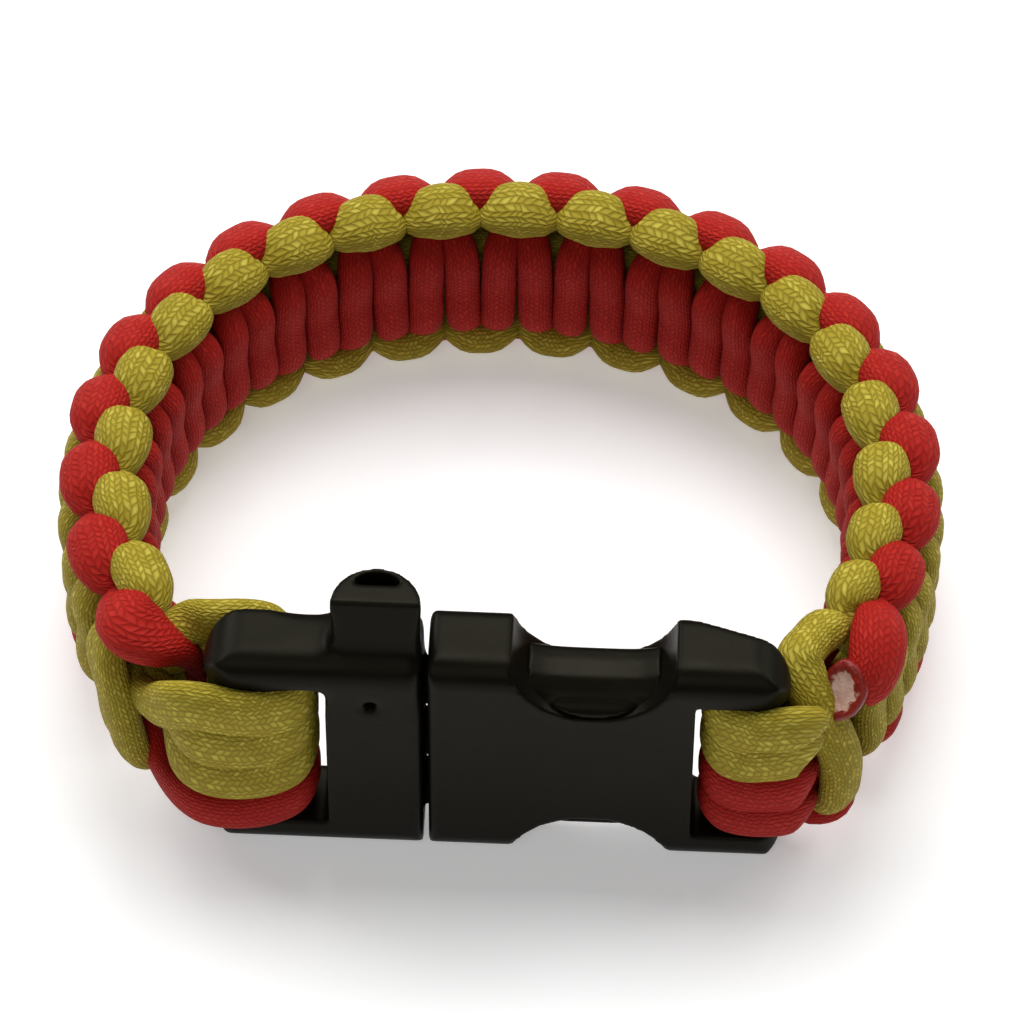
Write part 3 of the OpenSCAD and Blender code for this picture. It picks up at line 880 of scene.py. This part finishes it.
def with_saddles(mesh):
    verts = [tuple(v.co) for v in mesh.vertices]
    faces = [tuple(p.vertices) for p in mesh.polygons]
    for side in (1, -1):
        more, sides = saddle(side)
        faces += [tuple(len(verts) + i for i in face) for face in sides]
        verts += more
    joined = bpy.data.meshes.new("whistle_half_and_saddles")
    joined.from_pydata(verts, [], faces)
    return joined


def smoothed(obj, name, turns):
    made = obj.modifiers.new(name, "SMOOTH")
    made.factor = SMOOTHING
    made.iterations = turns
    return made


def flow_at_foot(obj):
    """Applies the modifiers that obj has, then smooths the mouthpiece's foot more than the rest."""
    bpy.context.view_layer.update()
    seen = obj.evaluated_get(bpy.context.evaluated_depsgraph_get())
    obj.data = bpy.data.meshes.new_from_object(seen)
    obj.modifiers.clear()
    foot = obj.vertex_groups.new(name="foot")
    for v in obj.data.vertices:
        weight = at_foot(v.co.x / MM, v.co.z / MM)
        if weight > 0:
            foot.add([v.index], weight, "REPLACE")
    smoothed(obj, "Flow", FLOW_TURNS).vertex_group = "foot"


def soften(node):
    """A copy of the node with its edges rounded, remeshed along the buckle's own axes."""
    mesh = frame["nodes"][node].data.copy()
    mesh.transform(buckle_frame.inverted())
    if node == "whistle_half":
        mesh = with_saddles(mesh)
    mesh.materials.clear()
    mesh.materials.append(black)
    obj = linked("moulded_" + node, mesh)
    obj.matrix_world = buckle_frame
    remesh = obj.modifiers.new("Remesh", "REMESH")
    remesh.mode = "VOXEL"
    remesh.voxel_size = VOXEL * MM
    remesh.use_smooth_shade = True
    smoothed(obj, "Rounding", ROUNDING_TURNS)
    if node == "whistle_half":
        flow_at_foot(obj)
    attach(obj, "root")
    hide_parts(node)


soften("whistle_half")
soften("socket_half")

# The plain pale floor, which glows a little, and the soft light. FLOOR_HALF is in metres.
FLOOR_HALF = 1.5
FLOOR_GLOW = 0.3
FLOOR_SPECKS = 40
FLOOR_DARK = (0.90, 0.90, 0.90, 1)
FLOOR_LIGHT = (0.92, 0.92, 0.92, 1)
WHITE = (1, 1, 1, 1)
WORLD_LIGHT = 0.04
# Name, place and size in metres, and power in watts
LIGHTS = (
    ("top", (0, 0.25, 0.58), 0.35, 2.7),
    ("left", (-0.42, 0.30, 0.42), 0.35, 1.9),
    ("right", (0.42, 0.30, 0.42), 0.35, 1.4),
    ("front", (-0.08, -0.45, 0.50), 0.4, 0.8),
)


def floor():
    square = ((-1, -1), (1, -1), (1, 1), (-1, 1))
    corners = [(FLOOR_HALF * x, FLOOR_HALF * y, 0) for x, y in square]
    mesh = bpy.data.meshes.new("floor")
    mesh.from_pydata(corners, [], [(0, 1, 2, 3)])
    sh = Shader("floor", Roughness=0.9, Emission_Color=WHITE, Emission_Strength=FLOOR_GLOW)
    speck = sh.node("TexNoise", 0, Scale=FLOOR_SPECKS, Detail=2)
    sh.paint("Base Color", sh.blend(speck, FLOOR_DARK, FLOOR_LIGHT))
    mesh.materials.append(sh.material)
    linked("floor", mesh)


def turn_to(obj, ahead):
    obj.rotation_mode = "QUATERNION"
    obj.rotation_quaternion = ahead.to_track_quat("-Z", "Y")


def area_light(name, light_place, size, power):
    light = bpy.data.lights.new(name, "AREA")
    light.size = size
    light.energy = power
    obj = linked(name, light)
    obj.location = light_place
    turn_to(obj, -Vector(light_place))


def world():
    made = bpy.data.worlds.new("studio")
    made.use_nodes = True
    background = made.node_tree.nodes["Background"]
    background.inputs["Color"].default_value = WHITE
    background.inputs["Strength"].default_value = WORLD_LIGHT
    bpy.context.scene.world = made


floor()
for light_row in LIGHTS:
    area_light(*light_row)
world()
bpy.context.scene.view_settings.view_transform = "Standard"

# The camera, as the photograph was taken. It aims at a point in the band's frame. NEAREST is in
# metres.
ELEVATION = radians(51.8) + REST_TILT
YAW = radians(4.5)
DISTANCE = 562
PIXELS_PER_UNIT = 5720
IMAGE_WIDTH = 1024
AIM_X = 0.97
AIM_Y = -32.49
SENSOR = 36
NEAREST = 0.01
aim = lie @ Vector((AIM_X, AIM_Y, 0))
back = Matrix.Rotation(YAW, 3, "Z") @ Vector((0, -cos(ELEVATION), sin(ELEVATION)))
camera_data = bpy.data.cameras.new("camera")
camera_data.sensor_width = SENSOR
camera_data.lens = SENSOR * PIXELS_PER_UNIT / IMAGE_WIDTH
camera_data.clip_start = NEAREST
camera = linked("camera", camera_data)
camera.location = (aim + DISTANCE * back) * MM
turn_to(camera, -back)
bpy.context.scene.camera = camera
